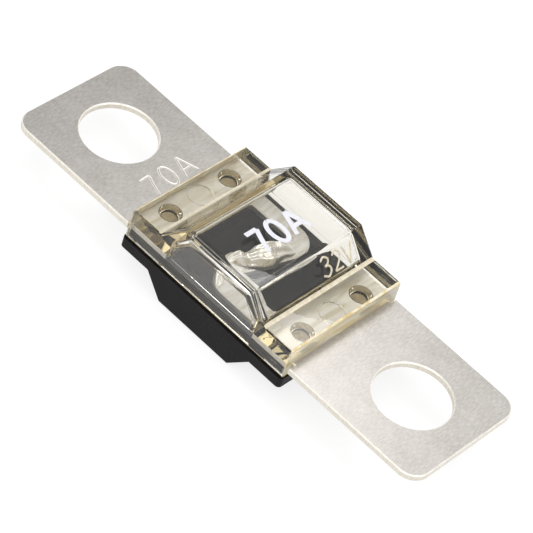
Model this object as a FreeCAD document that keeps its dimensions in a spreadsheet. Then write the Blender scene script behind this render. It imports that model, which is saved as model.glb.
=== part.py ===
import FreeCAD, Part
import Sketcher
import math
import os

# Bolt down strip fuse: a punched metal strip with a hole at each end, clamped between a black
# moulded housing and a clear moulded cover, with a spot of tin on the weak link between them.
# Millimetres. X runs along the strip, Y across it, Z up; the origin is the middle of the
# housing's flat underside.

doc = FreeCAD.newDocument("StripFuse")
sheet = doc.addObject("Spreadsheet::Sheet", "Dims")

dimensions = [
    # levels, from the underside up
    ("pan_depth", 1.9, "depth of the tapered pan below the housing's slab"),
    ("slab_height", 0.9, "height of the slab's edge below the cover's skirt"),
    ("tongue_height", 0.6, "height of the tongue inside the cover's skirt"),
    ("strip_thickness", 0.5, "thickness of the punched strip"),
    ("flange_height", 1.62, "height of the cover's low ends above the strip"),
    ("dome_rise", 2.02, "rise of the cover's dome above its low ends"),
    # cover
    ("cover_length", 15.9, "length of the cover"),
    ("cover_width", 11.9, "width of the cover at the lower edge of its skirt"),
    ("end_land", 2.72, "length of each low end"),
    ("dome_slope_length", 1.83, "length taken up by each sloping end of the dome"),
    ("roof_wall", 0.9, "thickness of the dome's top"),
    ("slope_wall", 0.9, "thickness of the dome's sloping ends"),
    ("side_wall", 0.82, "thickness of the dome's side walls at their foot"),
    ("skirt_wall", 0.75, "thickness of the skirt that laps over the tongue"),
    ("side_draft", 2.5, "draft angle of the cover's sides, degrees"),
    ("cover_edge_radius", 0.2, "radius of the cover's outer edges"),
    ("dome_foot_radius", 0.4, "radius of the sweep where the dome rises from a low end"),
    ("skirt_foot_radius", 0.25, "radius of the skirt's lower edges"),
    ("hollow_radius", 0.5, "radius of the inner edges of the dome's hollow"),
    ("ejector_mark_diameter", 2.0, "diameter of the ejector marks under the low ends"),
    ("ejector_mark_depth", 0.1, "depth of the ejector marks"),
    # housing
    ("base_step", 0.15, "how far the housing stands out past the cover, all round"),
    ("slab_overhang", 2.94, "length of the slab past the pan at each end"),
    ("pan_slope_length", 1.8, "length taken up by each sloping end of the pan"),
    ("pan_floor", 0.9, "thickness of the pan's floor"),
    ("pan_wall", 1.15, "thickness of the pan's sloping ends, measured level"),
    ("tongue_wall", 0.85, "thickness of the tongue beside the chamber"),
    ("chamber_ledge", 0.1, "how far the chamber's ends lie inside the strip's plates"),
    ("skirt_clearance", 0.05, "gap between the skirt and the tongue, each side"),
    ("base_corner_radius", 0.35, "radius of the housing's upright corners"),
    ("base_edge_radius", 0.2, "radius along the foot of the housing"),
    # strip
    ("hole_pitch", 30.0, "distance between the centres of the terminal holes"),
    ("hole_diameter", 6.0, "diameter of the terminal holes"),
    ("end_margin", 5.35, "distance from a terminal hole's centre to the strip's end"),
    ("blade_inset", 0.2, "how far the blades' sides lie inside the cover's sides"),
    ("blade_corner_radius", 1.5, "radius of the blades' outer corners"),
    ("shoulder_clearance", 0.05, "gap between the blades' shoulders and the housing"),
    ("neck_clearance", 0.05, "gap between the strip's neck and the skirt, each side"),
    ("punch_bevel", 0.1, "bevel that the punch leaves along the strip's upper edges"),
    ("run_inset", 0.7, "how far the element's runs lie inside the neck's sides"),
    ("run_width", 1.45, "width of each run of the element"),
    ("link_width", 1.7, "width of the sloping link, measured level"),
    ("link_shift", 1.6, "how far the link leans along the strip between the two runs"),
    ("turn_radius", 1.85, "radius of the sweep where a run turns into the link"),
    ("inner_radius", 0.4, "radius of the element's inner corners"),
    # pegs
    ("peg_end_inset", 1.25, "distance from the cover's end to the pegs' centres"),
    ("peg_side_inset", 2.05, "distance from the neck's side to the pegs' centres"),
    ("plate_land", 2.3, "distance from the pegs' centres to the edge of the window"),
    ("peg_diameter", 1.7, "diameter of the cover's pegs"),
    ("peg_clearance", 0.05, "gap around a peg in the strip and the housing"),
    ("peg_depth", 0.85, "length of a peg below the strip"),
    ("peg_tip_radius", 0.5, "radius of the rounding round a peg's tip"),
    ("peg_tip_clearance", 0.1, "gap below a peg's tip"),
    # tin spot
    ("tin_end_gap", 0.6, "distance from the spot's far end to the run beside it"),
    ("tin_spill", 1.3, "how far the spot has run out over the run at its near end"),
    ("tin_overhang", 0.3, "how far the spot bulges past the link's sides"),
    ("tin_height", 1.0, "height of the spot at its highest"),
    ("tin_shift", 2.3, "how far the spot wanders along the strip over its length"),
]
for row, (alias, size, note) in enumerate(dimensions, 1):
    sheet.set("A%d" % row, note)
    sheet.set("B%d" % row, str(size))
    sheet.setAlias("B%d" % row, alias)
doc.recompute()

# Levels and half lengths that several pieces share
LEDGE = "(Dims.pan_depth + Dims.slab_height)"
SEAT = "(%s + Dims.tongue_height)" % LEDGE
STRIP_TOP = "(%s + Dims.strip_thickness)" % SEAT
FLANGE_TOP = "(%s + Dims.flange_height)" % STRIP_TOP
DOME_TOP = "(%s + Dims.dome_rise)" % FLANGE_TOP
COVER_HALF = "(Dims.cover_length / 2)"
BASE_HALF = "(%s + Dims.base_step)" % COVER_HALF
SKIRT_INNER = "(Dims.cover_width / 2 - Dims.skirt_wall)"
NECK = "(%s - Dims.neck_clearance)" % SKIRT_INNER
RUN_OUTER = "(%s - Dims.run_inset)" % NECK
RUN_INNER = "(%s - Dims.run_width)" % RUN_OUTER
PEG_ALONG = "(%s - Dims.peg_end_inset)" % COVER_HALF
PEG_ACROSS = "(%s - Dims.peg_side_inset)" % NECK
PEG_BORE = "(Dims.peg_diameter + 2 * Dims.peg_clearance)"
WINDOW_HALF = "(%s - Dims.plate_land)" % PEG_ALONG


def value(expression):
    """The number that an expression on the sheet gives."""
    result = sheet.evalExpression(expression)
    return float(getattr(result, "Value", result))


def minus(expression):
    return "-(%s)" % expression


def plane(body, role):
    """One of the body's own origin planes."""
    return next(f for f in body.Origin.OriginFeatures if f.Role == role)


def new_sketch(body, name, role, level="0"):
    """A sketch on an origin plane, moved along the plane's normal by level."""
    sketch = body.newObject("Sketcher::SketchObject", name)
    sketch.AttachmentSupport = [(plane(body, role), "")]
    sketch.MapMode = "FlatFace"
    sketch.setExpression("AttachmentOffset.Base.z", level)
    return sketch


def pin(sketch, geometry, point, across, up):
    """Holds one point of the sketch at a place given by two expressions."""
    for kind, expression in (("DistanceX", across), ("DistanceY", up)):
        index = sketch.addConstraint(
            Sketcher.Constraint(kind, -1, 1, geometry, point, value(expression)))
        sketch.setExpression("Constraints[%d]" % index, expression)


def outline(body, name, role, corners, level="0"):
    """A closed outline of straight sides whose corners are pairs of expressions."""
    sketch = new_sketch(body, name, role, level)
    at = [FreeCAD.Vector(value(x), value(y), 0) for x, y in corners]
    count = len(at)
    for i in range(count):
        sketch.addGeometry(Part.LineSegment(at[i], at[(i + 1) % count]))
    for i in range(count):
        sketch.addConstraint(Sketcher.Constraint("Coincident", i, 2, (i + 1) % count, 1))
    for i, (x, y) in enumerate(corners):
        pin(sketch, i, 1, x, y)
    return sketch


def rings(body, name, centres, diameter, level):
    """Circles of one diameter on a level plane."""
    sketch = new_sketch(body, name, "XY_Plane", level)
    for i, (x, y) in enumerate(centres):
        centre = FreeCAD.Vector(value(x), value(y), 0)
        sketch.addGeometry(Part.Circle(centre, FreeCAD.Vector(0, 0, 1), value(diameter) / 2))
        pin(sketch, i, 3, x, y)
        index = sketch.addConstraint(Sketcher.Constraint("Diameter", i, value(diameter)))
        sketch.setExpression("Constraints[%d]" % index, diameter)
    return sketch


def mirrored(corners):
    """Right-hand corners followed by the same corners mirrored to the left."""
    return corners + [(minus(x), y) for x, y in reversed(corners)]


def turned(corners):
    """Corners followed by the same corners turned half a turn about the middle."""
    return corners + [(minus(x), minus(y)) for x, y in corners]


def pad(body, name, sketch, length, both_ways=False, reverse=False):
    feature = body.newObject("PartDesign::Pad", name)
    feature.Profile = sketch
    feature.SideType = "Symmetric" if both_ways else "One side"
    feature.Reversed = reverse
    feature.setExpression("Length", length)
    doc.recompute()
    return feature


def pocket(body, name, sketch, length, both_ways=False, reverse=False):
    """Cuts the sketch's area out of the body and makes sure that it removed something."""
    before = body.Shape.Volume
    feature = body.newObject("PartDesign::Pocket", name)
    feature.Profile = sketch
    feature.SideType = "Symmetric" if both_ways else "One side"
    feature.Reversed = reverse
    feature.setExpression("Length", length)
    doc.recompute()
    if body.Shape.Volume >= before - 1e-6:
        raise RuntimeError(name + " cuts nothing")
    return feature


def edge_names(feature, test):
    """Names of the feature's edges whose two ends pass the test."""
    names = []
    for i, edge in enumerate(feature.Shape.Edges, 1):
        if len(edge.Vertexes) == 2 and test(edge.Vertexes[0].Point, edge.Vertexes[1].Point):
            names.append("Edge%d" % i)
    return names


def fillet(body, name, feature, names, radius):
    rounding = body.newObject("PartDesign::Fillet", name)
    rounding.Base = (feature, names)
    rounding.setExpression("Radius", radius)
    doc.recompute()
    return rounding


def upright(a, b):
    return abs(a.x - b.x) < 1e-4 and abs(a.y - b.y) < 1e-4


PEG_CENTRES = [(PEG_ALONG, PEG_ACROSS), (PEG_ALONG, minus(PEG_ACROSS)),
               (minus(PEG_ALONG), PEG_ACROSS), (minus(PEG_ALONG), minus(PEG_ACROSS))]

# Black moulded housing: a slab with a tapered pan below it, a tongue along its top that the
# strip lies on, an open chamber under the element and four blind sockets for the pegs
base = doc.addObject("PartDesign::Body", "HousingBase")
base.Label = "housing_base"
PAN_TOP_HALF = "(%s - Dims.slab_overhang)" % BASE_HALF
PAN_FOOT_HALF = "(%s - Dims.pan_slope_length)" % PAN_TOP_HALF
base_profile = outline(base, "BaseProfile", "XZ_Plane", mirrored([
    (PAN_FOOT_HALF, "0 * Dims.pan_depth"), (PAN_TOP_HALF, "Dims.pan_depth"),
    (BASE_HALF, "Dims.pan_depth"), (BASE_HALF, LEDGE)]))
slab = pad(base, "Slab", base_profile, "Dims.cover_width + 2 * Dims.base_step", both_ways=True)
TONGUE_OUTER = "(%s - Dims.skirt_clearance)" % SKIRT_INNER
tongue_plan = outline(base, "TonguePlan", "XY_Plane", turned([
    (COVER_HALF, minus(TONGUE_OUTER)), (COVER_HALF, TONGUE_OUTER)]), LEDGE)
tongue = pad(base, "Tongue", tongue_plan, "Dims.tongue_height")
CHAMBER_HALF = "(%s - Dims.chamber_ledge)" % WINDOW_HALF
PAN_INNER_FOOT = "(%s - Dims.pan_wall)" % PAN_FOOT_HALF
chamber_profile = outline(base, "ChamberProfile", "XZ_Plane", mirrored([
    ("%s + Dims.pan_floor * Dims.pan_slope_length / Dims.pan_depth" % PAN_INNER_FOOT,
     "Dims.pan_floor"),
    (CHAMBER_HALF, "(%s - %s) * Dims.pan_depth / Dims.pan_slope_length"
     % (CHAMBER_HALF, PAN_INNER_FOOT)),
    (CHAMBER_HALF, SEAT)]))
chamber = pocket(base, "Chamber", chamber_profile,
                 "2 * (%s - Dims.tongue_wall)" % TONGUE_OUTER, both_ways=True)
sockets = rings(base, "SocketRings", PEG_CENTRES, PEG_BORE, SEAT)
socket_cut = pocket(base, "Sockets", sockets, "Dims.peg_depth + Dims.peg_tip_clearance")
base_half = value(BASE_HALF)
base_corners = edge_names(socket_cut, lambda a, b: upright(a, b)
                          and abs(abs(a.x) - base_half) < 1e-4)
base_round = fillet(base, "BaseCorners", socket_cut, base_corners, "Dims.base_corner_radius")
foot_edges = edge_names(base_round, lambda a, b: abs(a.z) < 1e-4 and abs(b.z) < 1e-4)
foot_round = fillet(base, "BaseFoot", base_round, foot_edges, "Dims.base_edge_radius")

# Punched strip: two blades with round holes, narrow necks inside the body and between them an
# element that runs along one side, slopes across the middle and runs along the other side
strip = doc.addObject("PartDesign::Body", "FuseStrip")
strip.Label = "fuse_strip"
END = "(Dims.hole_pitch / 2 + Dims.end_margin)"
BLADE_SIDE = "(Dims.cover_width / 2 - Dims.blade_inset)"
SHOULDER = "(%s + Dims.shoulder_clearance)" % BASE_HALF
LINK_LEAN = "(Dims.link_shift / (2 * %s))" % RUN_INNER
TURN_TIP = "(%s * %s + Dims.link_width / 2)" % (LINK_LEAN, RUN_OUTER)
LINK_FOOT = "(Dims.link_width / 2 - %s * %s)" % (LINK_LEAN, RUN_INNER)
strip_plan = outline(strip, "StripPlan", "XY_Plane", turned([
    (minus(END), minus(BLADE_SIDE)), (minus(END), BLADE_SIDE),
    (minus(SHOULDER), BLADE_SIDE), (minus(SHOULDER), NECK),
    (minus(WINDOW_HALF), NECK), (minus(WINDOW_HALF), RUN_OUTER),
    (TURN_TIP, RUN_OUTER), (LINK_FOOT, minus(RUN_INNER)), (WINDOW_HALF, minus(RUN_INNER)),
    (WINDOW_HALF, NECK), (SHOULDER, NECK), (SHOULDER, BLADE_SIDE)]), SEAT)
strip_pad = pad(strip, "StripPad", strip_plan, "Dims.strip_thickness")
TERMINALS = [("Dims.hole_pitch / 2", "0 * Dims.hole_pitch"),
             ("-Dims.hole_pitch / 2", "0 * Dims.hole_pitch")]
terminal_rings = rings(strip, "TerminalRings", TERMINALS, "Dims.hole_diameter", STRIP_TOP)
terminal_cut = pocket(strip, "TerminalHoles", terminal_rings, "Dims.strip_thickness")
peg_rings = rings(strip, "PegRings", PEG_CENTRES, PEG_BORE, STRIP_TOP)
peg_cut = pocket(strip, "PegHoles", peg_rings, "Dims.strip_thickness")
end_x = value(END)
blade_corners = edge_names(peg_cut, lambda a, b: upright(a, b) and abs(abs(a.x) - end_x) < 1e-4)
blade_round = fillet(strip, "BladeCorners", peg_cut, blade_corners, "Dims.blade_corner_radius")
tip = FreeCAD.Vector(value(TURN_TIP), value(RUN_OUTER), 0)
turn_corners = edge_names(blade_round, lambda a, b: upright(a, b)
                          and abs(abs(a.x) - tip.x) < 1e-4 and abs(abs(a.y) - tip.y) < 1e-4)
turn_round = fillet(strip, "TurnCorners", blade_round, turn_corners, "Dims.turn_radius")
inner_y = value(RUN_INNER)
inner_corners = edge_names(turn_round, lambda a, b: upright(a, b)
                           and abs(abs(a.y) - inner_y) < 1e-4)
inner_round = fillet(strip, "InnerCorners", turn_round, inner_corners, "Dims.inner_radius")
strip_top = value(STRIP_TOP)
peg_bore_radius = value(PEG_BORE) / 2


def is_upper_edge(edge):
    """True for an edge of the strip's upper face, apart from the rims of the peg holes."""
    level = all(abs(v.Point.z - strip_top) < 1e-4 for v in edge.Vertexes)
    rim = hasattr(edge.Curve, "Radius") and abs(edge.Curve.Radius - peg_bore_radius) < 1e-4
    return level and not rim


upper_edges = ["Edge%d" % i for i, edge in enumerate(inner_round.Shape.Edges, 1)
               if is_upper_edge(edge)]
punch_edge = strip.newObject("PartDesign::Chamfer", "PunchedEdges")
punch_edge.Base = (inner_round, upper_edges)
punch_edge.setExpression("Size", "Dims.punch_bevel")
doc.recompute()

# Clear moulded cover: solid low ends, a raised dome with sloping ends over the element, a skirt
# down both sides over the housing's tongue, and four pegs that pass through the strip
cover = doc.addObject("PartDesign::Body", "ClearCover")
cover.Label = "clear_cover"
DOME_FOOT = "(%s - Dims.end_land)" % COVER_HALF
cover_profile = outline(cover, "CoverProfile", "XZ_Plane", mirrored([
    (COVER_HALF, LEDGE), (COVER_HALF, FLANGE_TOP), (DOME_FOOT, FLANGE_TOP),
    ("%s - Dims.dome_slope_length" % DOME_FOOT, DOME_TOP)]))
shell = pad(cover, "Shell", cover_profile, "Dims.cover_width", both_ways=True)
channel_profile = outline(cover, "ChannelProfile", "XZ_Plane", [
    (COVER_HALF, LEDGE), (COVER_HALF, STRIP_TOP),
    (minus(COVER_HALF), STRIP_TOP), (minus(COVER_HALF), LEDGE)])
channel = pocket(cover, "Channel", channel_profile, "2 * " + SKIRT_INNER, both_ways=True)
SLOPE_BACK = ("(Dims.slope_wall * sqrt(Dims.dome_rise ^ 2 + Dims.dome_slope_length ^ 2)"
              " / Dims.dome_rise)")
INNER_FOOT = "(%s - %s)" % (DOME_FOOT, SLOPE_BACK)
dome_profile = outline(cover, "DomeProfile", "XZ_Plane", mirrored([
    (WINDOW_HALF, STRIP_TOP),
    (WINDOW_HALF, "%s + (%s - %s) * Dims.dome_rise / Dims.dome_slope_length"
     % (FLANGE_TOP, INNER_FOOT, WINDOW_HALF)),
    ("%s - (Dims.dome_rise - Dims.roof_wall) * Dims.dome_slope_length / Dims.dome_rise" % INNER_FOOT,
     "%s - Dims.roof_wall" % DOME_TOP)]))
dome_cut = pocket(cover, "DomeHollow", dome_profile,
                  "2 * (Dims.cover_width / 2 - Dims.side_wall)", both_ways=True)
seam = cover.newObject("PartDesign::Plane", "SeamPlane")
seam.AttachmentSupport = [(plane(cover, "XY_Plane"), "")]
seam.MapMode = "FlatFace"
seam.setExpression("AttachmentOffset.Base.z", LEDGE)
doc.recompute()
cover_half_width = value("Dims.cover_width / 2")
side_faces = ["Face%d" % i for i, face in enumerate(dome_cut.Shape.Faces, 1)
              if all(abs(abs(v.Point.y) - cover_half_width) < 1e-4 for v in face.Vertexes)
              and abs(face.normalAt(0, 0).y) > 0.99]
draft = cover.newObject("PartDesign::Draft", "SideDraft")
draft.Base = (dome_cut, side_faces)
draft.NeutralPlane = (seam, [""])
draft.setExpression("Angle", "Dims.side_draft")
doc.recompute()
doc.recompute()  # the draft finds its neutral plane on the second pass
flange_top, dome_top = value(FLANGE_TOP), value(DOME_TOP)
cover_half, dome_foot = value(COVER_HALF), value(DOME_FOOT)
sweep_edges = edge_names(draft, lambda a, b: all(
    abs(abs(p.x) - dome_foot) < 1e-4 and abs(p.z - flange_top) < 1e-4 for p in (a, b)))
sweep_round = fillet(cover, "DomeFoot", draft, sweep_edges, "Dims.dome_foot_radius")


def on_crest(a, b):
    """True for the outer edges of the dome's top and slopes and of the low ends' end faces."""
    outside = all(abs(p.y) > cover_half_width - 1 for p in (a, b))
    on_dome = outside and max(a.z, b.z) > dome_top - 1e-4
    at_end = all(abs(abs(p.x) - cover_half) < 1e-4 for p in (a, b))
    return on_dome or (at_end and min(a.z, b.z) > flange_top - 1e-4)


crest_edges = edge_names(sweep_round, on_crest)
crest_round = fillet(cover, "CrestEdges", sweep_round, crest_edges, "Dims.cover_edge_radius")
ledge = value(LEDGE)
skirt_edges = edge_names(crest_round, lambda a, b: abs(a.z - ledge) < 1e-4
                         and abs(b.z - ledge) < 1e-4 and abs(a.y - b.y) < 1e-4)
skirt_round = fillet(cover, "SkirtFoot", crest_round, skirt_edges, "Dims.skirt_foot_radius")
hollow_side = value("Dims.cover_width / 2 - Dims.side_wall")
hollow_top = value("%s - Dims.roof_wall" % DOME_TOP)
hollow_foot = value(STRIP_TOP)


def in_hollow(a, b):
    """True for the edges along the hollow's sides above its foot, and across its ceiling."""
    beside = all(abs(abs(point.y) - hollow_side) < 1e-4 for point in (a, b))
    above_foot = max(a.z, b.z) > hollow_foot + 1e-4
    across = all(abs(point.z - hollow_top) < 1e-4 for point in (a, b))
    return (beside and above_foot) or across


hollow_edges = edge_names(skirt_round, in_hollow)
hollow_round = fillet(cover, "HollowEdges", skirt_round, hollow_edges, "Dims.hollow_radius")
peg_plan = rings(cover, "PegPlan", PEG_CENTRES, "Dims.peg_diameter", STRIP_TOP)
pegs = pad(cover, "Pegs", peg_plan, "Dims.strip_thickness + Dims.peg_depth", reverse=True)
tip_level = value("%s - Dims.strip_thickness - Dims.peg_depth" % STRIP_TOP)
tip_edges = ["Edge%d" % i for i, edge in enumerate(pegs.Shape.Edges, 1)
             if all(abs(v.Point.z - tip_level) < 1e-4 for v in edge.Vertexes)]
tip_round = fillet(cover, "PegTips", pegs, tip_edges, "Dims.peg_tip_radius")
mark_centres = [(PEG_ALONG, "0 * Dims.cover_width"), (minus(PEG_ALONG), "0 * Dims.cover_width")]
mark_rings = rings(cover, "MarkRings", mark_centres, "Dims.ejector_mark_diameter", STRIP_TOP)
marks = pocket(cover, "EjectorMarks", mark_rings, "Dims.ejector_mark_depth", reverse=True)

# Tin spot: a lumpy ridge of once molten tin along the sloping link, which has run out over the
# turn at its near end. Each lump gives its place along the strip, its half width and its height
# as shares of the spot's own sizes.
tin = doc.addObject("PartDesign::Body", "TinSpot")
tin.Label = "tin_spot"
TIN_NEAR = "(%s + Dims.tin_spill)" % RUN_INNER
TIN_FAR = "(%s - Dims.tin_end_gap)" % RUN_INNER
LUMPS = [(-0.13, 0.34, 0.32), (-0.4, 0.5, 0.5), (-0.46, 0.6, 0.7), (-0.31, 0.85, 0.9),
         (-0.04, 0.75, 0.7), (0.02, 1.0, 0.95), (0.03, 0.86, 0.85), (0.14, 0.7, 0.65),
         (0.38, 0.3, 0.28)]


def tin_section(place, lump):
    """A round-backed section across the spot, place eighths of its length from the near end."""
    lean, breadth, height = lump
    along = "(%.3f * %s - %.3f * %s)" % (place / 8, TIN_FAR, 1 - place / 8, TIN_NEAR)
    centre = "(%.2f * Dims.tin_shift)" % lean
    half = "(%.2f * (Dims.link_width / 2 + Dims.tin_overhang))" % breadth
    rise = "(%.2f * Dims.tin_height)" % height
    section = new_sketch(tin, "TinSection%d" % place, "XZ_Plane", minus(along))
    x, level = value(centre), value(STRIP_TOP)
    left = FreeCAD.Vector(x - value(half), level, 0)
    right = FreeCAD.Vector(x + value(half), level, 0)
    top = FreeCAD.Vector(x, level + value(rise), 0)
    section.addGeometry(Part.LineSegment(left, right))
    section.addGeometry(Part.Arc(right, top, left))
    section.addConstraint(Sketcher.Constraint("Coincident", 0, 1, 1, 2))
    section.addConstraint(Sketcher.Constraint("Coincident", 0, 2, 1, 1))
    pin(section, 0, 1, "%s - %s" % (centre, half), STRIP_TOP)
    pin(section, 0, 2, "%s + %s" % (centre, half), STRIP_TOP)
    middle = "%s + (%s ^ 2 - %s ^ 2) / (2 * %s)" % (STRIP_TOP, rise, half, rise)
    index = section.addConstraint(Sketcher.Constraint("DistanceY", -1, 1, 1, 3, value(middle)))
    section.setExpression("Constraints[%d]" % index, middle)
    return section


sections = [tin_section(place, lump) for place, lump in enumerate(LUMPS)]
doc.recompute()
ridge = tin.newObject("PartDesign::AdditiveLoft", "TinRidge")
ridge.Profile = sections[0]
ridge.Sections = sections[1:]
ridge.Ruled = False
doc.recompute()

# Every object is checked, then each piece is written to a file of its own name
for item in doc.Objects:
    if "Invalid" in item.State or "Error" in item.State:
        raise RuntimeError("%s failed: %s" % (item.Name, item.State))
os.makedirs("parts", exist_ok=True)
for body in (base, strip, cover, tin):
    shape = body.Shape
    if shape.isNull() or not shape.isValid():
        raise RuntimeError(body.Label + " has no valid shape")
    print("%s: %d solid, %.2f mm3, box %s" % (body.Label, len(shape.Solids), shape.Volume,
                                              shape.BoundBox))
    shape.exportStep("parts/%s.step" % body.Label)
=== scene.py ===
import math

import bmesh
import bpy
import numpy as np
from mathutils import Matrix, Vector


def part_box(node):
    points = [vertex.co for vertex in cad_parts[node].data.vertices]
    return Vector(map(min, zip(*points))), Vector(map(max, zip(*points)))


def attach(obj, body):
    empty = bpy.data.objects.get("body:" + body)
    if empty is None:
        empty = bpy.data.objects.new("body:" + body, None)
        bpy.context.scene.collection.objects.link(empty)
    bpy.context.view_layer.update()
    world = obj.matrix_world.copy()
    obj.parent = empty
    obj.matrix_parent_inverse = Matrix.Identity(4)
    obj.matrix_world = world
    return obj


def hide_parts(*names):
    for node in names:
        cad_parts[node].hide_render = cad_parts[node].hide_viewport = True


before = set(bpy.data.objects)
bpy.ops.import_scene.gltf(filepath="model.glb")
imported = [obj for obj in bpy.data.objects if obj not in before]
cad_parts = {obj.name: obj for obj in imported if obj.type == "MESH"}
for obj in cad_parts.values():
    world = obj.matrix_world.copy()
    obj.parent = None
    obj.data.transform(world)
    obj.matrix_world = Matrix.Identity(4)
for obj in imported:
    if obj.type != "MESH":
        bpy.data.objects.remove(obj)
scene = bpy.context.scene
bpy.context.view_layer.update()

# Housing: one black moulding of glass filled polyester, with a slab, a tapered pan below it and
# a tongue that the strip lies on. It comes straight from the mould, so its walls have the fine
# grain of the spark eroded tool and no gloss.
MM = 0.001


def linear(hex_colour):
    """sRGB hex to linear light: c / 12.92 up to 0.04045, else ((c + 0.055) / 1.055) ^ 2.4."""
    c = np.array([int(hex_colour[i:i + 2], 16) for i in (1, 3, 5)]) / 255
    c = np.where(c <= 0.04045, c / 12.92, ((c + 0.055) / 1.055) ** 2.4)
    return (float(c[0]), float(c[1]), float(c[2]), 1.0)


def add(tree, kind, settings=None, links=None):
    """Adds a node. Settings name an input socket, by name or number, a property of the node, or
    a colour ramp's stops; links give an input socket the (node, output) that feeds it."""
    node = tree.nodes.new(kind)
    for name, setting in (settings or {}).items():
        if isinstance(name, int) or name in node.inputs:
            node.inputs[name].default_value = setting
        elif name == "stops":
            ramp = node.color_ramp
            while len(ramp.elements) < len(setting):
                ramp.elements.new(0.5)
            for element, (place, colour) in zip(ramp.elements, setting):
                element.position = place
                element.color = linear(colour)
        else:
            setattr(node, name, setting)
    for name, (source, output) in (links or {}).items():
        tree.links.new(source.outputs[output], node.inputs[name])
    return node


def new_material(name):
    """An empty material with its node tree cleared."""
    material = bpy.data.materials.new(name)
    material.use_nodes = True
    material.node_tree.nodes.clear()
    return material, material.node_tree


def noise(tree, spacing, settings, stretch=None):
    """Noise on the piece's own coordinates, whose patches lie spacing apart. Stretch gives a
    share for each axis: a share under 1 draws the patches out along it."""
    where = add(tree, "ShaderNodeTexCoord")
    if stretch is None:
        return add(tree, "ShaderNodeTexNoise", {"Scale": 1 / spacing, **settings},
                   {"Vector": (where, "Object")})
    drawn_out = add(tree, "ShaderNodeMapping",
                    {"Scale": tuple(share / spacing for share in stretch)},
                    {"Vector": (where, "Object")})
    return add(tree, "ShaderNodeTexNoise", {"Scale": 1.0, **settings},
               {"Vector": (drawn_out, "Vector")})


def tones(tree, pattern, stops):
    """A colour ramp over a noise. Each stop is a place on it and an sRGB hex."""
    return add(tree, "ShaderNodeValToRGB", {"stops": stops}, {"Fac": (pattern, "Fac")})


def between(tree, pattern, low, high):
    """A number from low to high that follows a noise, most of which lies from 0.3 to 0.7."""
    return add(tree, "ShaderNodeMapRange",
               {"From Min": 0.3, "From Max": 0.7, "To Min": low, "To Max": high},
               {"Value": (pattern, "Fac")})


def bump(tree, pattern, strength, height):
    """Normals as if the noise stood up by the height."""
    return add(tree, "ShaderNodeBump", {"Strength": strength, "Distance": height},
               {"Height": (pattern, "Fac")})


def surface(tree, settings, links):
    """The finished surface, led to the material's output, which is returned."""
    shader = add(tree, "ShaderNodeBsdfPrincipled", settings, links)
    return add(tree, "ShaderNodeOutputMaterial", links={"Surface": (shader, "BSDF")})


# Matt black, with fine flecks, soft clouds and hardly a highlight
moulded_black, tree = new_material("black_moulded_polyester")
GRAIN = 0.18 * MM  # the tool's grain is finer, drawn this coarse so that it shows
FLOW = 2.5 * MM  # soft clouds where the melt flowed together
grain = noise(tree, GRAIN, {"Detail": 3.0, "Roughness": 0.6})
clouds = noise(tree, FLOW, {"Detail": 2.0})
speckle = tones(tree, grain, [(0.35, "#0A0909"), (0.52, "#141213"), (0.68, "#242021")])
cloudy = add(tree, "ShaderNodeMixRGB", {"blend_type": "SOFT_LIGHT", "Fac": 0.5},
             {"Color1": (speckle, "Color"), "Color2": (clouds, "Fac")})
satin = between(tree, grain, 0.42, 0.6)
bumps = bump(tree, grain, 0.35, 0.01 * MM)
surface(tree, {"IOR": 1.57, "Specular IOR Level": 0.12},
        {"Base Color": (cloudy, "Color"), "Roughness": (satin, "Result"),
         "Normal": (bumps, "Normal")})
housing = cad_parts["housing_base"]
housing.data.materials.clear()
housing.data.materials.append(moulded_black)

# Strip: two blades and the weak element between them, punched from one sheet of zinc alloy and
# plated with satin tin. The rating is stamped into the left blade with thin round ended strokes.
# It lies on the housing's tongue, and the cover's pegs hold it there.
STRIP_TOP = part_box("fuse_strip")[1][2]
COVER_HALF_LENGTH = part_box("clear_cover")[1][0]
STAMP_FOOT = (-8.82 * MM, -1.66 * MM)  # middle of the first character's foot
STAMP_READING = (-0.06, 1.0, 0.0)  # the word runs across the strip, a little aslant
STAMP_HEIGHT = 1.88 * MM
STAMP_PITCH = 1.74 * MM
STAMP_STROKE = 0.24 * MM
STAMP_DEPTH = 0.045 * MM
SAME = 0.001 * MM  # places closer than this are one place
STRIP_SOFT = 35  # degrees: edges less sharp than this are shaded smooth


def merged_copy(node, name):
    """A piece with a CAD node's mesh in which the loose triangles share their points."""
    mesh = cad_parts[node].data.copy()
    shell = bmesh.new()
    shell.from_mesh(mesh)
    bmesh.ops.remove_doubles(shell, verts=shell.verts, dist=0.1 * SAME)
    shell.to_mesh(mesh)
    shell.free()
    piece = bpy.data.objects.new(name, mesh)
    scene.collection.objects.link(piece)
    return piece


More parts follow.
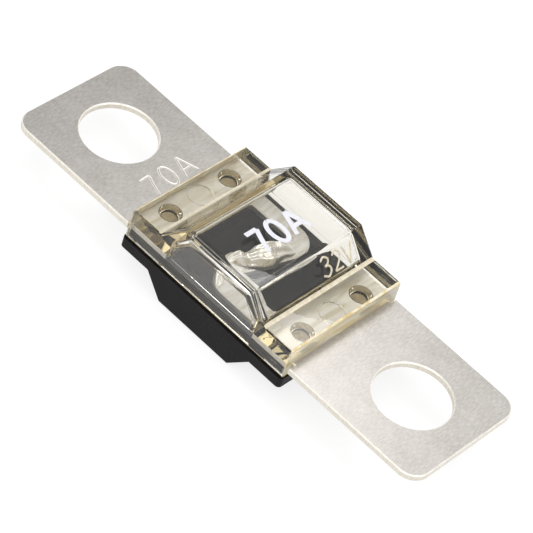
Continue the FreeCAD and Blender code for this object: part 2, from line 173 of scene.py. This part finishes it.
def smooth(piece, angle):
    """Smooth shading that stops at edges sharper than angle, and at the rim of every flat face
    of more than 1.5 square mm, its area added up over the triangles that share one plane."""
    flat_area = 1.5 * MM ** 2
    level_step = 2 * SAME
    normal_steps = 200
    mesh = piece.data
    count = len(mesh.polygons)
    normals = np.empty(count * 3, np.float32)
    centres = np.empty(count * 3, np.float32)
    areas = np.empty(count, np.float32)
    mesh.polygons.foreach_get("normal", normals)
    mesh.polygons.foreach_get("center", centres)
    mesh.polygons.foreach_get("area", areas)
    normals, centres = normals.reshape(-1, 3), centres.reshape(-1, 3)
    levels = np.sum(normals * centres, axis=1) / level_step
    planes = np.concatenate([np.rint(normals * normal_steps), np.rint(levels)[:, None]], axis=1)
    _, group = np.unique(planes, axis=0, return_inverse=True)
    group = group.ravel()
    flat = np.bincount(group, areas)[group] > flat_area
    shell = bmesh.new()
    shell.from_mesh(mesh)
    shell.faces.ensure_lookup_table()
    for face in shell.faces:
        face.smooth = not flat[face.index]
    for edge in shell.edges:
        rim = any(flat[face.index] for face in edge.link_faces)
        edge.smooth = not rim and edge.calc_face_angle(math.pi) < math.radians(angle)
    shell.to_mesh(mesh)
    shell.free()


def rounded_line(points, steps=8):
    """A smooth line through the points: between two of them it is the Catmull-Rom cubic
    p1 + t(p2 - p0)/2 + t^2(2p0 - 5p1 + 4p2 - p3)/2 + t^3(3p1 - p0 - 3p2 + p3)/2."""
    p = np.asarray(points, float)
    closed = np.allclose(p[0], p[-1])
    before = p[-2] if closed else 2 * p[0] - p[1]
    after = p[1] if closed else 2 * p[-1] - p[-2]
    p = np.vstack([before, p, after])
    t = (np.arange(steps) / steps)[None, :, None]
    p0, p1, p2, p3 = (p[i:len(p) - 3 + i][:, None, :] for i in range(4))
    line = (p1 + t * (p2 - p0) / 2 + t ** 2 * (2 * p0 - 5 * p1 + 4 * p2 - p3) / 2
            + t ** 3 * (3 * p1 - p0 - 3 * p2 + p3) / 2).reshape(-1, p.shape[1])
    return line if closed else np.vstack([line, p[-2]])


# The characters' strokes in units of their height: across from the middle, up from the foot
oval = [(0.27 * math.sin(a), 0.5 + 0.5 * math.cos(a))
        for a in np.linspace(0, 2 * math.pi, 33)]
STROKES = {
    "7": [[(-0.27, 0.97), (0.27, 0.97)], [(0.27, 0.97), (0.08, 0.5), (-0.08, 0.0)]],
    "0": [oval],
    "A": [[(-0.36, 0.0), (0.0, 1.0)], [(0.0, 1.0), (0.36, 0.0)], [(-0.24, 0.33), (0.24, 0.33)]],
    "3": [[(-0.26, 0.85), (-0.02, 1.0), (0.24, 0.82), (0.16, 0.6), (-0.06, 0.53)],
          [(-0.06, 0.53), (0.2, 0.47), (0.29, 0.25), (0.05, 0.0), (-0.28, 0.14)]],
    "2": [[(-0.27, 0.82), (0.0, 1.0), (0.26, 0.76), (0.08, 0.4), (-0.28, 0.03)],
          [(-0.28, 0.03), (0.3, 0.03)]],
    "V": [[(-0.32, 1.0), (0.0, 0.0)], [(0.0, 0.0), (0.32, 1.0)]],
}


def tube_rings(line, profile, up, taper):
    """The profile carried along a line. Each ring is line + side * across + up * height, where
    side is up x direction; taper gives the share of the profile that is left at each point."""
    ahead = np.gradient(line, axis=0)
    if np.allclose(line[0], line[-1]):
        ahead[0] = ahead[-1] = line[1] - line[-2]
    ahead /= np.linalg.norm(ahead, axis=1, keepdims=True)
    side = np.cross(np.broadcast_to(up, line.shape), ahead)
    across = side[:, None, :] * profile[None, :, 0:1] * taper[:, None, None]
    height = up[None, None, :] * (profile[None, :, 1:2] * taper[:, None, None])
    return line[:, None, :] + across + height


def stroke_solid(name, lines, profile, up, round_end):
    """One mesh of all the strokes, each a tube whose ends shrink over the length round_end as
    sqrt(1 - (1 - s)^2), where s is the distance from the end as a share of that length."""
    end_steps = round_end * np.array([0, 0.08, 0.25, 0.55, 1.0])
    past_end = 1.3 * round_end
    thinnest = 0.02
    shell = bmesh.new()
    count = len(profile)
    for line in lines:
        gone = np.concatenate([[0], np.cumsum(np.linalg.norm(np.diff(line, axis=0), axis=1))])
        closed = np.allclose(line[0], line[-1])
        taper = np.ones(len(line))
        if not closed:
            middle = gone[(gone > past_end) & (gone < gone[-1] - past_end)]
            spots = np.concatenate([end_steps, middle, gone[-1] - end_steps[::-1]])
            line = np.stack([np.interp(spots, gone, line[:, i]) for i in range(3)], axis=1)
            share = np.clip(np.minimum(spots, gone[-1] - spots) / round_end, 0, 1)
            taper = np.maximum(np.sqrt(1 - (1 - share) ** 2), thinnest)
        rings = tube_rings(line, profile, up, taper)
        if closed:
            rings = rings[:-1]
        made = [[shell.verts.new(p) for p in ring] for ring in rings.tolist()]
        pairs = zip(made, made[1:] + made[:1] if closed else made[1:])
        for a, b in pairs:
            for i in range(count):
                j = (i + 1) % count
                shell.faces.new((a[i], a[j], b[j], b[i]))
        if not closed:
            shell.faces.new(made[0][::-1])
            shell.faces.new(made[-1])
    bmesh.ops.recalc_face_normals(shell, faces=shell.faces)
    mesh = bpy.data.meshes.new(name)
    shell.to_mesh(mesh)
    shell.free()
    return mesh


def character_lines(text, foot, reading, rising, height, pitch):
    """The strokes of a word: foot is the middle of the first character's foot, and each next one
    stands pitch further along reading; a point is foot + reading * across + rising * up."""
    lines = []
    for place, character in enumerate(text):
        for stroke in STROKES[character]:
            flat = rounded_line(stroke) if len(stroke) > 2 else np.array(
                [np.array(stroke[0]) * (1 - t) + np.array(stroke[1]) * t
                 for t in np.linspace(0, 1, 9)])
            lines.append(foot + reading * (place * pitch + flat[:, 0:1] * height)
                         + rising * flat[:, 1:2] * height)
    return lines


def cut_or_join(piece, tool_mesh, operation):
    """Cuts the strokes out of the piece's mesh, or joins them to it, and keeps the result."""
    tool = bpy.data.objects.new("tool", tool_mesh)
    scene.collection.objects.link(tool)
    step = piece.modifiers.new("Strokes", "BOOLEAN")
    step.operation = operation
    step.solver = "EXACT"
    step.use_self = True
    step.object = tool
    made = bpy.data.meshes.new_from_object(
        piece.evaluated_get(bpy.context.evaluated_depsgraph_get()))
    piece.modifiers.clear()
    piece.data = made
    bpy.data.objects.remove(tool)


UP = np.array([0.0, 0.0, 1.0])
ACROSS = np.array([0.0, 1.0, 0.0])  # the words read across the strip
LEFTWARD = np.array([-1.0, 0.0, 0.0])  # and on flat faces their characters rise to the left
strip = merged_copy("fuse_strip", "stamped_strip")
stamp_foot = np.array([*STAMP_FOOT, STRIP_TOP])
stamp_lines = character_lines("70A", stamp_foot, np.array(STAMP_READING), LEFTWARD,
                              STAMP_HEIGHT, STAMP_PITCH)
# The groove's section, across in strokes and up in depths
groove = np.array([(-0.5, 0.15), (-0.2, -0.85), (0.0, -1.0), (0.2, -0.85), (0.5, 0.15)])
groove = groove * np.array([STAMP_STROKE, STAMP_DEPTH])
cut_or_join(strip, stroke_solid("stamp", stamp_lines, groove, UP, STAMP_STROKE / 2),
            "DIFFERENCE")
smooth(strip, STRIP_SOFT)


def along_strip(tree):
    """The distance along the strip from the middle of the fuse."""
    where = add(tree, "ShaderNodeTexCoord")
    place = add(tree, "ShaderNodeSeparateXYZ", links={"Vector": (where, "Object")})
    return add(tree, "ShaderNodeMath", {"operation": "ABSOLUTE"}, {0: (place, "X")})


# Silvery grey with short scratches and soft clouds. Under the cover it is painted pale with
# painted highlight lines, in place of the light that the cover holds back, and is less metallic
# and more matt there
satin_tin, tree = new_material("satin_tin_plating")
BRUSH = 0.13 * MM  # spacing of the fine short scratches, drawn this coarse to show
BLOTCH = 1.8 * MM  # soft cloudiness of the plating
PAINTED_HIGHLIGHT_STREAK = 0.55 * MM  # spacing of the painted highlight lines across the strip under the cover
PAINTED_LIGHT_BORDER = 0.25 * MM  # the painted light fades in over this length inside the cover's ends
scratches = noise(tree, BRUSH, {"Detail": 4.0, "Roughness": 0.65}, (1, 0.3, 1))
blotches = noise(tree, BLOTCH, {"Detail": 3.0})
painted_highlight_streaks = noise(tree, PAINTED_HIGHLIGHT_STREAK, {"Detail": 3.0, "Distortion": 0.4}, (1, 0.15, 1))
tone = tones(tree, scratches, [(0.25, "#A9A5A0"), (0.5, "#BAB6B1"), (0.75, "#CBC7C2")])
cloud = add(tree, "ShaderNodeMixRGB", {"blend_type": "SOFT_LIGHT", "Fac": 0.25},
            {"Color1": (tone, "Color"), "Color2": (blotches, "Fac")})
# Painted light: the metal under the cover is painted pale with bright lines, fading in from the
# cover's ends
painted_light_under_cover = add(tree, "ShaderNodeMapRange",
           {"From Min": COVER_HALF_LENGTH, "From Max": COVER_HALF_LENGTH - PAINTED_LIGHT_BORDER,
            "To Max": 0.8}, {"Value": (along_strip(tree), "Value")})
painted_pale_tone = tones(tree, painted_highlight_streaks, [(0.36, "#E2DCCE"), (0.5, "#F7F6F2"), (0.6, "#FFFFFF")])
plating = add(tree, "ShaderNodeMixRGB", links={"Color1": (cloud, "Color"),
                                               "Color2": (painted_pale_tone, "Color"),
                                               "Fac": (painted_light_under_cover, "Result")})
dull = between(tree, scratches, 0.34, 0.44)
matt = add(tree, "ShaderNodeMath", {"operation": "MULTIPLY_ADD", 1: 0.22},
           {0: (painted_light_under_cover, "Result"), 2: (dull, "Result")})
bare = add(tree, "ShaderNodeMapRange", {"To Min": 1.0, "To Max": 0.75},
           {"Value": (painted_light_under_cover, "Result")})
bumps = bump(tree, scratches, 0.25, 0.004 * MM)
surface(tree, {}, {"Base Color": (plating, "Color"), "Metallic": (bare, "Result"),
                   "Roughness": (matt, "Value"), "Normal": (bumps, "Normal")})
strip.data.materials.clear()
strip.data.materials.append(satin_tin)

# Painted highlight: pale metal that shows as bright lines along the stamp's strokes and the
# punched edges
painted_highlight_tin, tree = new_material("tin_painted_highlight_on_edges")
EDGE_HIGHLIGHT_PATCH = 0.3 * MM  # uneven patches in the painted highlight along the stamp's and the punch's edges
tone = tones(tree, noise(tree, EDGE_HIGHLIGHT_PATCH, {"Detail": 2.0}), [(0.3, "#EFEAE0"), (0.7, "#FFFDF6")])
surface(tree, {"Metallic": 0.5, "Roughness": 0.5}, {"Base Color": (tone, "Color")})
strip.data.materials.append(painted_highlight_tin)

# Dull pale metal with upright lines
sheared_zinc, tree = new_material("freshly_sheared_zinc")
DRAW = 0.1 * MM  # upright lines that the punch drew down the cut
drawn = noise(tree, DRAW, {"Detail": 2.0}, (1, 1, 0.1))
tone = tones(tree, drawn, [(0.3, "#D8D2C5"), (0.7, "#E6E1D6")])
surface(tree, {"Metallic": 1.0, "Roughness": 0.5}, {"Base Color": (tone, "Color")})
strip.data.materials.append(sheared_zinc)

# Which faces get the painted highlight or are sheared, by their depth and by the upward share of
# their normals
HIGHLIGHT_DEPTH = 0.7 * STAMP_DEPTH
HIGHLIGHT_LEAN = (0.3, 0.95)
SHEARED_LEAN = (-0.5, 0.5)


def within(value, limits):
    """True if the value lies between the two limits."""
    return limits[0] < value < limits[1]


for face in strip.data.polygons:
    depth = STRIP_TOP - face.center[2]
    if SAME < depth < HIGHLIGHT_DEPTH or within(face.normal.z, HIGHLIGHT_LEAN):
        face.material_index = 1
    elif within(face.normal.z, SHEARED_LEAN):
        face.material_index = 2
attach(strip, "root")
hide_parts("fuse_strip")

# Tin spot: a run of tin that was melted on to the sloping link and set in long smooth folds. It
# ran out over the turn at its near end. When the fuse is overloaded for long it melts first and
# takes the link with it.
TIN_GAP = 0.004 * MM  # the run's base lies this much above the strip
TIN_COLUMNS = 37
TIN_SOFT = 60  # degrees: edges less sharp than this are shaded smooth
# Each row gives a place across the strip, the left and right side there and the height, in mm
TIN_ROWS = [(-4.3, -0.5, 0.08, 0.12), (-3.85, -1.0, -0.08, 0.42), (-3.1, -1.5, -0.5, 0.55),
            (-2.5, -1.58, -0.42, 0.72), (-2.0, -1.52, 0.12, 0.9), (-1.5, -1.12, 0.42, 0.66),
            (-0.9, -0.9, 0.85, 0.85), (-0.2, -0.92, 1.18, 0.97), (0.5, -0.84, 1.04, 0.9),
            (1.2, -0.58, 1.02, 0.78), (1.85, -0.2, 1.16, 0.55), (2.38, 0.5, 1.08, 0.1)]


def tin_points(columns):
    """A folded ridge, in mm. Its sides and height follow smooth lines through the rows. With
    u = cos(a) across, x = (left + right) / 2 + u c (right - left) / 2 and
    z = height sin(a)^0.8 c (1 + 0.16 cos(8 (u - 0.35 sin(0.9 y))) + 0.05 sin(5.5 y + 2.5 u)),
    where c = sqrt(1 - (1 - s)^2) closes the ends and s is y's share of the last 0.35."""
    line = rounded_line(np.array(TIN_ROWS), 9)
    y, left, right, height = (line[:, i:i + 1] for i in range(4))
    a = np.linspace(0, math.pi, columns)[None, :]
    end = np.minimum(y - y[0], y[-1] - y) / 0.35
    close = np.sqrt(1 - (1 - np.clip(end, 0, 1)) ** 2)
    u = np.cos(a)
    fold = 1 + 0.16 * np.cos(8 * (u - 0.35 * np.sin(0.9 * y)))
    fold = fold + 0.05 * np.sin(5.5 * y + 2.5 * u)
    x = (left + right) / 2 + (right - left) / 2 * u * close
    z = height * np.sin(a) ** 0.8 * fold * close
    grid = np.stack(np.broadcast_arrays(x, y + 0 * a, z), axis=-1) * MM
    return grid + np.array([0.0, 0.0, STRIP_TOP + TIN_GAP])


def closed_ridge(name, grid):
    """A mesh of rings, each closed by a straight base, whose end rings have shrunk to a point."""
    rows, columns = grid.shape[:2]
    i, j = np.meshgrid(np.arange(rows - 1), np.arange(columns), indexing="ij")
    k = (j + 1) % columns
    quads = np.stack([i * columns + j, i * columns + k, (i + 1) * columns + k,
                      (i + 1) * columns + j], axis=-1).reshape(-1, 4)
    mesh = bpy.data.meshes.new(name)
    mesh.from_pydata(grid.reshape(-1, 3).tolist(), [], quads.tolist())
    shell = bmesh.new()
    shell.from_mesh(mesh)
    bmesh.ops.remove_doubles(shell, verts=shell.verts, dist=0.1 * SAME)
    bmesh.ops.recalc_face_normals(shell, faces=shell.faces)
    shell.to_mesh(mesh)
    shell.free()
    mesh.shade_smooth()
    mesh.set_sharp_from_angle(angle=math.radians(TIN_SOFT))
    return mesh


tin = bpy.data.objects.new("tin_run", closed_ridge("tin_run", tin_points(TIN_COLUMNS)))
scene.collection.objects.link(tin)

# Whitish and bright, with soft uneven reflections
melted_tin, tree = new_material("bright_melted_tin")
WRINKLE = 1.1 * MM  # soft unevenness of the setting skin
wrinkles = noise(tree, WRINKLE, {"Detail": 2.0, "Distortion": 0.6})
tone = tones(tree, wrinkles, [(0.3, "#EEEAE2"), (0.7, "#FFFEFA")])
dull = between(tree, wrinkles, 0.22, 0.36)
bumps = bump(tree, wrinkles, 0.3, 0.1 * MM)
surface(tree, {"Metallic": 0.85}, {"Base Color": (tone, "Color"), "Roughness": (dull, "Result"),
                                   "Normal": (bumps, "Normal")})
tin.data.materials.append(melted_tin)
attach(tin, "root")
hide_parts("tin_spot")

# Cover: one clear moulding of polycarbonate with a domed window, polished in the mould, with the
# voltage raised on its right slope. It lies on the strip and housing with a hair of air between,
# and its four pegs go through the strip into the housing.
AIR = 0.012 * MM
FLANGE_TOP = 5.52 * MM  # top of the low ends
DOME_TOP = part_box("clear_cover")[1][2]
DOME_FOOT_X = 5.23 * MM  # place where the dome's slopes rise from the low ends
SLOPE_RUN = 1.83 * MM  # length that a slope takes up
SEAM_LEVEL = STRIP_TOP - 1.1 * MM  # foot of the skirt, on the housing's slab
RAISED_START = 1.22 * MM  # place of the first raised character across the slope
RAISED_UP = 0.66 * MM  # distance of its foot up the slope
RAISED_HEIGHT = 1.5 * MM
RAISED_PITCH = 1.2 * MM
RAISED_STROKE = 0.17 * MM
RAISED_RISE = 0.07 * MM
COVER_SOFT = 32  # degrees: edges less sharp than this are shaded smooth
cover = merged_copy("clear_cover", "clear_dome_cover")
points = np.empty(len(cover.data.vertices) * 3)
cover.data.vertices.foreach_get("co", points)
points = points.reshape(-1, 3)
seats = (np.abs(points[:, 2] - STRIP_TOP) < SAME) | (np.abs(points[:, 2] - SEAM_LEVEL) < SAME)
points[seats, 2] += AIR
cover.data.vertices.foreach_set("co", points.ravel())
slope = np.array([-SLOPE_RUN, 0.0, DOME_TOP - FLANGE_TOP])
slope /= np.linalg.norm(slope)
slope_up = np.array([slope[2], 0.0, -slope[0]])
raised_foot = np.array([DOME_FOOT_X, RAISED_START, FLANGE_TOP]) + slope * RAISED_UP
raised_lines = character_lines("32V", raised_foot, ACROSS, slope, RAISED_HEIGHT, RAISED_PITCH)
# The bead's section, across in strokes and up in rises
bead = np.array([(-0.5, -0.6), (-0.5, 0.1), (-0.3, 0.75), (0.0, 1.0), (0.3, 0.75),
                 (0.5, 0.1), (0.5, -0.6)]) * np.array([RAISED_STROKE, RAISED_RISE])
cut_or_join(cover, stroke_solid("raised", raised_lines, bead, slope_up, RAISED_STROKE / 2),
            "UNION")
smooth(cover, COVER_SOFT)

# Clear and polished, and straw coloured where it is thick. The end faces are matt and let only
# half the light through, and are painted gold and milky in place of the light that the thick
# plastic shows there.
clear_plastic, tree = new_material("clear_polycarbonate")
DRAG = 1.1 * MM  # faint waves that the flowing melt left in the polished walls
END_PAINTED_STREAK = 0.9 * MM  # painted gold lines across the end faces
END_DEPTH = (0.15 * MM, 0.01 * MM)  # the end faces' look begins and is full this far inside them
STRAW = linear("#FFF4CE")  # colour that the thickness keeps
STRAW_DENSITY = 150.0  # per metre
waves = noise(tree, DRAG, {"Detail": 1.0})
bumps = bump(tree, waves, 0.12, 0.02 * MM)
at_end = add(tree, "ShaderNodeMapRange",
             {"From Min": COVER_HALF_LENGTH - END_DEPTH[0],
              "From Max": COVER_HALF_LENGTH - END_DEPTH[1]},
             {"Value": (along_strip(tree), "Value")})
sheen = add(tree, "ShaderNodeMapRange", {"To Min": 0.012, "To Max": 0.25},
            {"Value": (at_end, "Result")})
through = add(tree, "ShaderNodeMapRange", {"To Min": 1.0, "To Max": 0.5},
              {"Value": (at_end, "Result")})
# Painted light: gold and milky lines on the end faces
end_painted_streaks = noise(tree, END_PAINTED_STREAK, {"Detail": 3.0, "Distortion": 0.8}, (1, 0.35, 2))
painted_end_tone = tones(tree, end_painted_streaks, [(0.35, "#F2D998"), (0.5, "#FBEEC8"), (0.62, "#FFFAEA")])
gold = add(tree, "ShaderNodeMixRGB", {"Color1": linear("#FFFFFF")},
           {"Fac": (at_end, "Result"), "Color2": (painted_end_tone, "Color")})
output = surface(tree, {"IOR": 1.585},
                 {"Base Color": (gold, "Color"), "Roughness": (sheen, "Result"),
                  "Transmission Weight": (through, "Result"), "Normal": (bumps, "Normal")})
tint = add(tree, "ShaderNodeVolumeAbsorption", {"Color": STRAW, "Density": STRAW_DENSITY})
tree.links.new(tint.outputs["Volume"], output.inputs["Volume"])
cover.data.materials.clear()
cover.data.materials.append(clear_plastic)

# Painted highlight: opaque cream and matt, on the skirt's foot, the sweep at the dome's foot, the
# raised word and the peg tips
painted_highlight_plastic, tree = new_material("polycarbonate_painted_highlight")
CREAM_HIGHLIGHT_PATCH = 0.3 * MM  # uneven patches and small lumps in the painted highlight
cream_highlight_patches = noise(tree, CREAM_HIGHLIGHT_PATCH, {"Detail": 2.0})
tone = tones(tree, cream_highlight_patches, [(0.3, "#CBC0A4"), (0.7, "#E6DDC6")])
bumps = bump(tree, cream_highlight_patches, 0.4, 0.03 * MM)
surface(tree, {"Roughness": 0.5, "IOR": 1.585},
        {"Base Color": (tone, "Color"), "Normal": (bumps, "Normal")})
cover.data.materials.append(painted_highlight_plastic)

# Painted highlight: amber to cream and opaque, along the rounded end edges
amber, tree = new_material("amber_painted_edge_highlight")
AMBER_HIGHLIGHT_PATCH = 0.8 * MM  # uneven amber in the painted highlight along the edge
tone = tones(tree, noise(tree, AMBER_HIGHLIGHT_PATCH, {"Detail": 3.0}),
             [(0.35, "#D9BC7C"), (0.5, "#EBDCB2"), (0.65, "#F8F1DC")])
surface(tree, {"Roughness": 0.35, "IOR": 1.585}, {"Base Color": (tone, "Color")})
cover.data.materials.append(amber)

# Which faces get the painted cream highlight or the painted highlight along the end edges, by
# their place and by the upward share of their normals
PEG_TIP_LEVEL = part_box("clear_cover")[0][2]
PEG_TIP_REACH = 0.1 * MM
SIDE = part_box("clear_cover")[1][1]
FOOT_RADIUS = 0.25 * MM
FOOT_LEAN = (-0.9, -0.1)
EDGE_RADIUS = 0.2 * MM
EDGE_LEAN = (0.3, 0.97)
SWEEP = 0.25 * MM  # reach of the rounded sweep at the dome's foot
SWEEP_LEAN = (0.69, 0.9999)
WORD = (-0.2 * MM, RAISED_HEIGHT + 0.2 * MM)  # the raised word's reach up the slope
for face in cover.data.polygons:
    centre = np.array(face.center)
    upward = face.normal[2]
    out, aside, level = abs(centre[0]), abs(centre[1]), centre[2]
    peg_tip = level < PEG_TIP_LEVEL + PEG_TIP_REACH
    foot = (level < SEAM_LEVEL + FOOT_RADIUS and aside > SIDE - FOOT_RADIUS
            and within(upward, FOOT_LEAN))
    raised = (np.dot(centre - raised_foot, slope_up) > SAME and level < DOME_TOP - SAME
              and within(np.dot(centre - raised_foot, slope), WORD))
    sweep = (abs(out - DOME_FOOT_X) < SWEEP and abs(level - FLANGE_TOP) < SWEEP
             and within(upward, SWEEP_LEAN))
    edge = (out > COVER_HALF_LENGTH - EDGE_RADIUS and level > FLANGE_TOP - EDGE_RADIUS
            and within(upward, EDGE_LEAN))
    face.material_index = 2 if edge else int(peg_tip or foot or raised or sweep)
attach(cover, "root")
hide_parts("clear_cover")

# Printed rating: white pad printing ink, a hundredth of a millimetre thick. A soft pad pressed it
# on to the dome's top, where it dried.
PRINT_FOOT = (1.4 * MM, -1.9 * MM)
PRINT_HEIGHT = 2.08 * MM
PRINT_PITCH = 1.76 * MM
PRINT_STROKE = 0.38 * MM
PRINT_FILM = 0.008 * MM
PRINT_GAP = 0.001 * MM  # between the film and the dome
PRINT_STEP = 0.0004 * MM  # each stroke lies this much above the last, where they cross
PRINT_END = 0.02 * MM  # length over which a stroke's end closes
print_foot = np.array([*PRINT_FOOT, DOME_TOP + PRINT_GAP])
print_lines = character_lines("70A", print_foot, ACROSS, LEFTWARD, PRINT_HEIGHT, PRINT_PITCH)
print_lines = [line + UP * place * PRINT_STEP for place, line in enumerate(print_lines)]
film = np.array([(-0.5, 0.0), (-0.5, 1.0), (0.5, 1.0), (0.5, 0.0)])
film = film * np.array([PRINT_STROKE, PRINT_FILM])
rating = bpy.data.objects.new(
    "printed_rating", stroke_solid("printed_rating", print_lines, film, UP, PRINT_END))
scene.collection.objects.link(rating)

# Flat white with faint pinholes
white_ink, tree = new_material("white_pad_ink")
PINHOLE = 0.2 * MM
tone = tones(tree, noise(tree, PINHOLE, {"Detail": 2.0}), [(0.3, "#D6D6DE"), (0.6, "#E2E2E9")])
surface(tree, {"Roughness": 0.45}, {"Base Color": (tone, "Color")})
rating.data.materials.append(white_ink)
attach(rating, "root")

# Studio: a plain pale floor, a bright even room and soft boxes overhead. A small box hangs close
# above the middle, so that the right blade fades from its near side to its far end.
FLOOR_HALF = 0.6
FLOOR_LEVEL = -0.02 * MM
floor_mesh = bpy.data.meshes.new("floor")
floor_mesh.from_pydata([(x * FLOOR_HALF, y * FLOOR_HALF, FLOOR_LEVEL)
                        for x, y in ((-1, -1), (1, -1), (1, 1), (-1, 1))], [], [(0, 1, 2, 3)])
floor = bpy.data.objects.new("floor", floor_mesh)
scene.collection.objects.link(floor)

# Plain matt paper, lit a little from behind, so that shadows on it stay faint
pale_floor, tree = new_material("pale_studio_paper")
surface(tree, {"Base Color": linear("#8F8F8F"), "Roughness": 0.9, "Specular IOR Level": 0.0,
               "Emission Color": linear("#FFFFFF"), "Emission Strength": 0.8}, {})
floor_mesh.materials.append(pale_floor)

# Even white walls all round, which the polished faces mirror
world = bpy.data.worlds.new("bright_room")
scene.world = world
world.use_nodes = True
world.node_tree.nodes.clear()
room = add(world.node_tree, "ShaderNodeBackground",
           {"Color": linear("#FFFFFF"), "Strength": 0.64})
add(world.node_tree, "ShaderNodeOutputWorld", links={"Surface": (room, "Background")})


def soft_box(name, place, aim, size, power):
    """A square area light at place that faces aim. Its size is in metres, its power in watts."""
    data = bpy.data.lights.new(name, "AREA")
    data.shape = "SQUARE"
    data.size = size
    data.energy = power
    box = bpy.data.objects.new(name, data)
    scene.collection.objects.link(box)
    toward = np.array(aim, float) - np.array(place, float)
    toward /= np.linalg.norm(toward)
    side = np.cross(toward, UP)
    side /= np.linalg.norm(side)
    top = np.cross(side, toward)
    turn = Matrix(np.stack([side, top, -toward], axis=1).tolist())
    box.matrix_world = Matrix.Translation(place) @ turn.to_4x4()


MIDDLE = (0.0, 0.0, 0.0)
soft_box("front_box", place=(0.05, -0.32, 0.42), aim=MIDDLE, size=0.3, power=0.6)
soft_box("top_box", place=(0.0, 0.12, 0.4), aim=MIDDLE, size=0.3, power=0.45)
soft_box("near_box", place=(-0.012, 0.026, 0.055), aim=(0.012, -0.005, 0.0), size=0.02,
         power=0.004)
soft_box("right_box", place=(0.4, 0.0, 0.4), aim=MIDDLE, size=0.25, power=0.5)

# Camera: a long lens, turned a little about its own axis, at the height and side from which the
# fuse was seen.
CAMERA_PLACE = (0.076348, -0.133772, 0.159114)
RIGHT = (0.69877, 0.67421, 0.23907)  # way to the picture's right side
TOP = (-0.62544, 0.41361, 0.66163)  # way to its top
BACK = (0.34720, -0.61185, 0.71070)  # way from the fuse back to the camera
camera_data = bpy.data.cameras.new("camera")
camera_data.sensor_width = 36.0
camera_data.lens = 206.95
camera_data.clip_start = 0.01
camera_data.clip_end = 10.0
camera = bpy.data.objects.new("camera", camera_data)
scene.collection.objects.link(camera)
camera.matrix_world = (Matrix.Translation(CAMERA_PLACE)
                       @ Matrix((RIGHT, TOP, BACK)).transposed().to_4x4())
scene.camera = camera
scene.view_settings.view_transform = "Standard"
